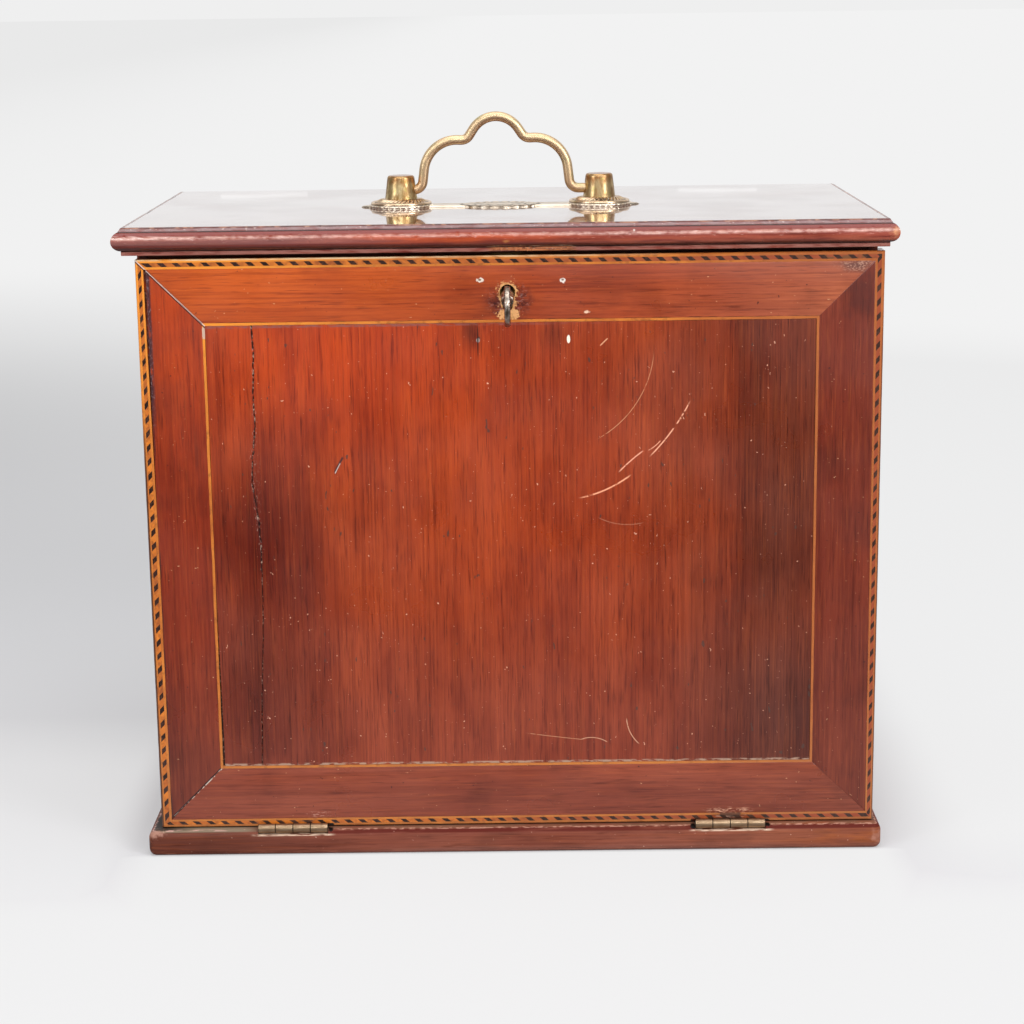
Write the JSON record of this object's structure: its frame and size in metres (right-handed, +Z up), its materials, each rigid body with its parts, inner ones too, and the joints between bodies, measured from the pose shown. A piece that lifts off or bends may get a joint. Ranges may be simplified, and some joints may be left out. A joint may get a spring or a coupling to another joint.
{
  "type": "desk letter box",
  "caption": "Mahogany desk letter box with a fixed moulded top, a hinged fall front edged in rope banding, a lock with key, an upright letter rack inside and a brass bail handle.",
  "frame": {"origin": "on the underside of the base board, midway across the case and midway between the fall front's outer face and the back", "axes": "+Z up, -Y out of the fall front, +X to the right as the front is seen"},
  "size_m": [0.3564, 0.2243, 0.3467],
  "materials": {
    "mahogany_case": "french polished, worn",
    "mahogany_top": "french polished, glossy",
    "mahogany_frame": "french polished, worn",
    "mahogany_panel": "french polished, worn",
    "mahogany_base": "french polished, worn on the edges",
    "mahogany_inside": "thinly polished, open grain",
    "boxwood_line": "polished over",
    "rope_inlay": "boxwood and ebonised blocks, polished over",
    "brass_handle": "worn lacquer, satin",
    "brass_bail": "rubbed, satin",
    "brass_plate": "engraved, tarnished",
    "brass_hinge": "tarnished",
    "brass_lock": "tarnished",
    "steel_key": "worn bright with brown patches",
    "steel_fastener": "dull"
  },
  "bodies": {
    "case": {"base_board": "mahogany_base", "side_left": "mahogany_case", "side_right": "mahogany_case", "back_panel": "mahogany_case", "top_board": "mahogany_top", "top_moulding_front": "mahogany_top", "top_moulding_left": "mahogany_top", "top_moulding_right": "mahogany_top", "top_rail_front": "mahogany_inside", "top_rail_back": "mahogany_inside", "rack_fence": "mahogany_inside", "rack_divider_1": "mahogany_inside", "rack_divider_2": "mahogany_inside", "rack_divider_3": "mahogany_inside", "base_screws": "steel_fastener", "top_rail_screws": "steel_fastener", "strike_plate": "brass_lock", "strike_screws": "steel_fastener", "hinge_left_base_leaf": "brass_hinge", "hinge_right_base_leaf": "brass_hinge", "hinge_left_pin": "steel_fastener", "hinge_right_pin": "steel_fastener", "hinge_base_screws": "brass_hinge", "handle_backplate": "brass_plate", "handle_rosette_left": "brass_handle", "handle_rosette_right": "brass_handle", "handle_post_left": "brass_handle", "handle_post_right": "brass_handle", "handle_washers": "brass_handle", "handle_nuts": "brass_handle"},
    "front": {"front_rail_top": "mahogany_frame", "front_rail_bottom": "mahogany_frame", "front_stile_left": "mahogany_frame", "front_stile_right": "mahogany_frame", "front_panel": "mahogany_panel", "boxwood_stringing": "boxwood_line", "rope_banding": "rope_inlay", "hinge_left_front_leaf": "brass_hinge", "hinge_right_front_leaf": "brass_hinge", "hinge_front_screws": "brass_hinge", "lock_plate": "brass_lock", "lock_cap": "brass_lock", "lock_drill_pin": "steel_fastener", "lock_screws": "steel_fastener"},
    "bolt": {"lock_bolt": "brass_lock"},
    "key": {"key": "steel_key"},
    "bail": {"bail_handle": "brass_bail"}
  },
  "joints": [
    {"name": "front_fall", "type": "hinge", "parent": "case", "child": "front", "pos_m": [-0.0014, -0.0975, 0.0129], "axis": [1, 0, 0], "range_deg": [0, 85]},
    {"name": "key_turn", "type": "hinge", "parent": "front", "child": "key", "pos_m": [0, -0.08695, 0.2694], "axis": [0, 0.9952, 0.0976], "range_deg": [0, 180]},
    {"name": "bolt_throw", "type": "slide", "parent": "front", "child": "bolt", "axis": [0, 0, 1], "range_m": [0, 0.0055]},
    {"name": "bail_swing", "type": "hinge", "parent": "case", "child": "bail", "pos_m": [-0.0053, -0.01, 0.3094], "axis": [1, 0, 0], "range_deg": [-98, 98]}
  ],
  "couplings": [
    {"joint": "bolt_throw", "follows": "key_turn", "m_per_rad": 0.0017507}
  ]
}
